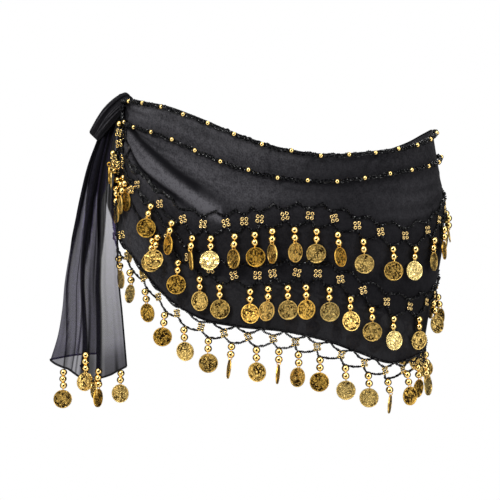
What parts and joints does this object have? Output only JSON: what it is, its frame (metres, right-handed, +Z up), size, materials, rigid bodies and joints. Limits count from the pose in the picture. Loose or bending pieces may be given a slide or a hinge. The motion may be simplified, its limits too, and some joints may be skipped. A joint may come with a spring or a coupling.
{
  "type": "belly dance hip scarf",
  "caption": "Sheer hip scarf worn as an open tube round the hips, knotted at one side with a bow loop and hanging tail, edged with bead ropes, rows of coins and a beaded fringe.",
  "frame": {"origin": "The middle of the wearer's hips, on the axis of the hollow that the scarf leaves open, level with the lower part of the waist edge.", "axes": "+Z is up, along the standing wearer's spine. +X points to the hip away from the knot, and the knot is at -X. -Y is the near side, where the scarf hangs lowest."},
  "size_m": [0.4347, 0.275, 0.3416],
  "materials": {
    "black_chiffon": "sheer black chiffon, lilac-grey where it is a single layer",
    "folded_chiffon": "the same chiffon, dense where it is wound and folded",
    "seed_beads": "glossy black seed beads",
    "gold_coins": "bright gold-plated embossed discs and round gold beads"
  },
  "bodies": {
    "root": {"hip_wrap": "black_chiffon", "tail": "black_chiffon", "tie_knot": "folded_chiffon", "tie_loop": "folded_chiffon", "waist_rope": "seed_beads", "second_rope": "seed_beads", "coin_row_upper": "gold_coins", "coin_row_middle": "gold_coins", "hem_fringe": "gold_coins", "tail_drop_left": "gold_coins", "tail_drop_pleat": "gold_coins", "tail_drop_middle": "gold_coins", "tail_drop_right": "gold_coins"}
  },
  "joints": []
}
